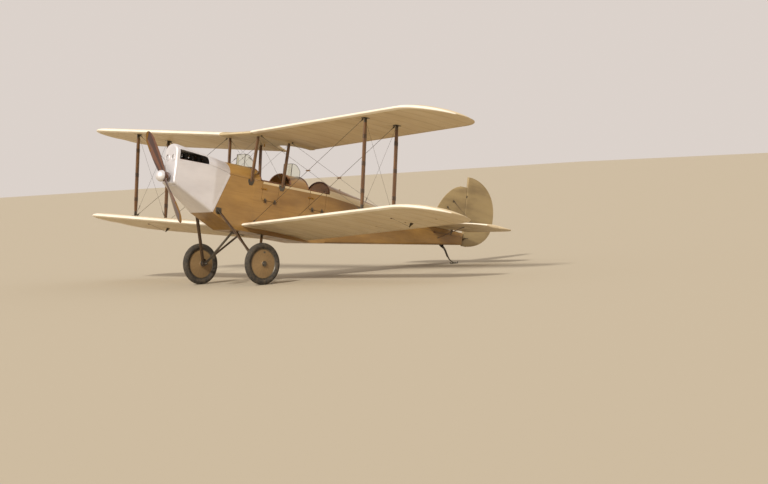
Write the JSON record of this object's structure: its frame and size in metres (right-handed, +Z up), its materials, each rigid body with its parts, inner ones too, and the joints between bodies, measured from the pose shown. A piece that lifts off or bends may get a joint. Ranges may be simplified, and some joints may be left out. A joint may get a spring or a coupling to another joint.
{
  "type": "two-seat light biplane",
  "caption": "Two-seat open-cockpit biplane with staggered wings, an inline engine, a two-blade propeller, hinged doors and working controls, parked on its wheels and tail skid.",
  "frame": {"origin": "centre of the bounding box on the ground plane, under the airframe as it stands parked", "axes": "+X to port along the wings, +Y aft, +Z up; the nose points to -Y, tipped up 12 degrees on the skid"},
  "size_m": [9.1384, 7.0812, 2.6795],
  "materials": {
    "doped_linen": "cream doped linen, satin",
    "tail_dope": "buff doped linen, satin",
    "tank_metal": "cream paint, satin",
    "brown_plywood": "dark brown gloss paint on plywood",
    "dark_spruce": "varnished dark spruce",
    "gear_paint": "dark brown enamel",
    "cowl_aluminium": "hand-polished sheet, satin",
    "wheel_cover": "brown enamel wheel cover, satin",
    "tyre": "worn black rubber",
    "steel": "oiled steel",
    "engine_iron": "dull, heat stained",
    "propeller_wood": "varnished laminated mahogany",
    "windscreen": "clear",
    "seat_leather": "worn brown leather"
  },
  "bodies": {
    "airframe": {"upper_wing_port": "doped_linen", "upper_wing_starboard": "doped_linen", "lower_wing_port": "doped_linen", "lower_wing_starboard": "doped_linen", "tailplane": "doped_linen", "fin": "tail_dope", "fuel_tank_centre_section": "tank_metal", "fuselage_side_port": "brown_plywood", "fuselage_side_starboard": "brown_plywood", "fuselage_floor": "brown_plywood", "front_decking": "brown_plywood", "middle_decking": "brown_plywood", "rear_fuselage": "brown_plywood", "interplane_strut_front_port": "dark_spruce", "interplane_strut_front_starboard": "dark_spruce", "interplane_strut_rear_port": "dark_spruce", "interplane_strut_rear_starboard": "dark_spruce", "cabane_strut_front_port": "dark_spruce", "cabane_strut_front_starboard": "dark_spruce", "cabane_strut_rear_port": "dark_spruce", "cabane_strut_rear_starboard": "dark_spruce", "tailplane_strut_port": "dark_spruce", "tailplane_strut_starboard": "dark_spruce", "undercarriage_vee_port": "gear_paint", "undercarriage_vee_starboard": "gear_paint", "top_cowl": "cowl_aluminium", "cowl_side_port": "cowl_aluminium", "cowl_side_starboard": "cowl_aluminium", "cowl_bottom": "cowl_aluminium", "nose_cowl": "cowl_aluminium", "firewall": "cowl_aluminium", "half_axle_port": "steel", "half_axle_starboard": "steel", "bracing_wires_front_port": "steel", "bracing_wires_front_starboard": "steel", "bracing_wires_rear_port": "steel", "bracing_wires_rear_starboard": "steel", "tail_skid": "steel", "engine_crankcase": "engine_iron", "cylinder_bank": "engine_iron", "exhaust_pipe": "engine_iron", "front_windscreen": "windscreen", "rear_windscreen": "windscreen", "front_seat": "seat_leather", "rear_seat": "seat_leather"},
    "propeller": {"propeller": "propeller_wood", "propeller_spinner": "cowl_aluminium"},
    "wheel_port": {"wheel_port": "wheel_cover", "tyre_port": "tyre"},
    "wheel_starboard": {"wheel_starboard": "wheel_cover", "tyre_starboard": "tyre"},
    "aileron_port": {"aileron_port": "doped_linen"},
    "aileron_starboard": {"aileron_starboard": "doped_linen"},
    "elevator": {"elevator": "doped_linen"},
    "rudder": {"rudder": "tail_dope"},
    "front_cockpit_door": {"front_cockpit_door": "brown_plywood"},
    "rear_cockpit_door": {"rear_cockpit_door": "brown_plywood"},
    "locker_lid": {"locker_lid": "brown_plywood"}
  },
  "joints": [
    {"name": "propeller_spin", "type": "hinge", "parent": "airframe", "child": "propeller", "pos_m": [0, -3.38216, 1.80608], "axis": [0, 0.9781, -0.2079], "continuous": true},
    {"name": "wheel_port_spin", "type": "hinge", "parent": "airframe", "child": "wheel_port", "pos_m": [0.85, -2.18485, 0.335], "axis": [1, 0, 0], "continuous": true},
    {"name": "wheel_starboard_spin", "type": "hinge", "parent": "airframe", "child": "wheel_starboard", "pos_m": [-0.85, -2.18485, 0.335], "axis": [1, 0, 0], "continuous": true},
    {"name": "rudder_hinge", "type": "hinge", "parent": "airframe", "child": "rudder", "pos_m": [0, 2.85513, 0.695], "axis": [0, 0.2079, 0.9781], "range_deg": [-28, 28]},
    {"name": "elevator_hinge", "type": "hinge", "parent": "airframe", "child": "elevator", "pos_m": [0, 2.39997, 0.62183], "axis": [1, 0, 0], "range_deg": [-24, 28]},
    {"name": "aileron_port_hinge", "type": "hinge", "parent": "airframe", "child": "aileron_port", "pos_m": [3.19479, -1.13642, 0.91267], "axis": [0.9981, 0.0127, 0.0597], "range_deg": [-20, 20]},
    {"name": "aileron_starboard_hinge", "type": "hinge", "parent": "airframe", "child": "aileron_starboard", "pos_m": [-3.19479, -1.13642, 0.91267], "axis": [0.9981, -0.0127, -0.0597], "range_deg": [-20, 20]},
    {"name": "front_door_hinge", "type": "hinge", "parent": "airframe", "child": "front_cockpit_door", "pos_m": [0.314, -1.56366, 1.29993], "axis": [0, 0.9781, -0.2079], "range_deg": [0, 170]},
    {"name": "rear_door_hinge", "type": "hinge", "parent": "airframe", "child": "rear_cockpit_door", "pos_m": [0.314, -0.60996, 1.09722], "axis": [0, 0.9781, -0.2079], "range_deg": [0, 170]},
    {"name": "locker_lid_hinge", "type": "hinge", "parent": "airframe", "child": "locker_lid", "pos_m": [-0.153, 0.03205, 1.40975], "axis": [0, -0.9288, 0.3706], "range_deg": [0, 105]}
  ],
  "couplings": [
    {"joint": "aileron_starboard_hinge", "follows": "aileron_port_hinge", "ratio": -1}
  ]
}
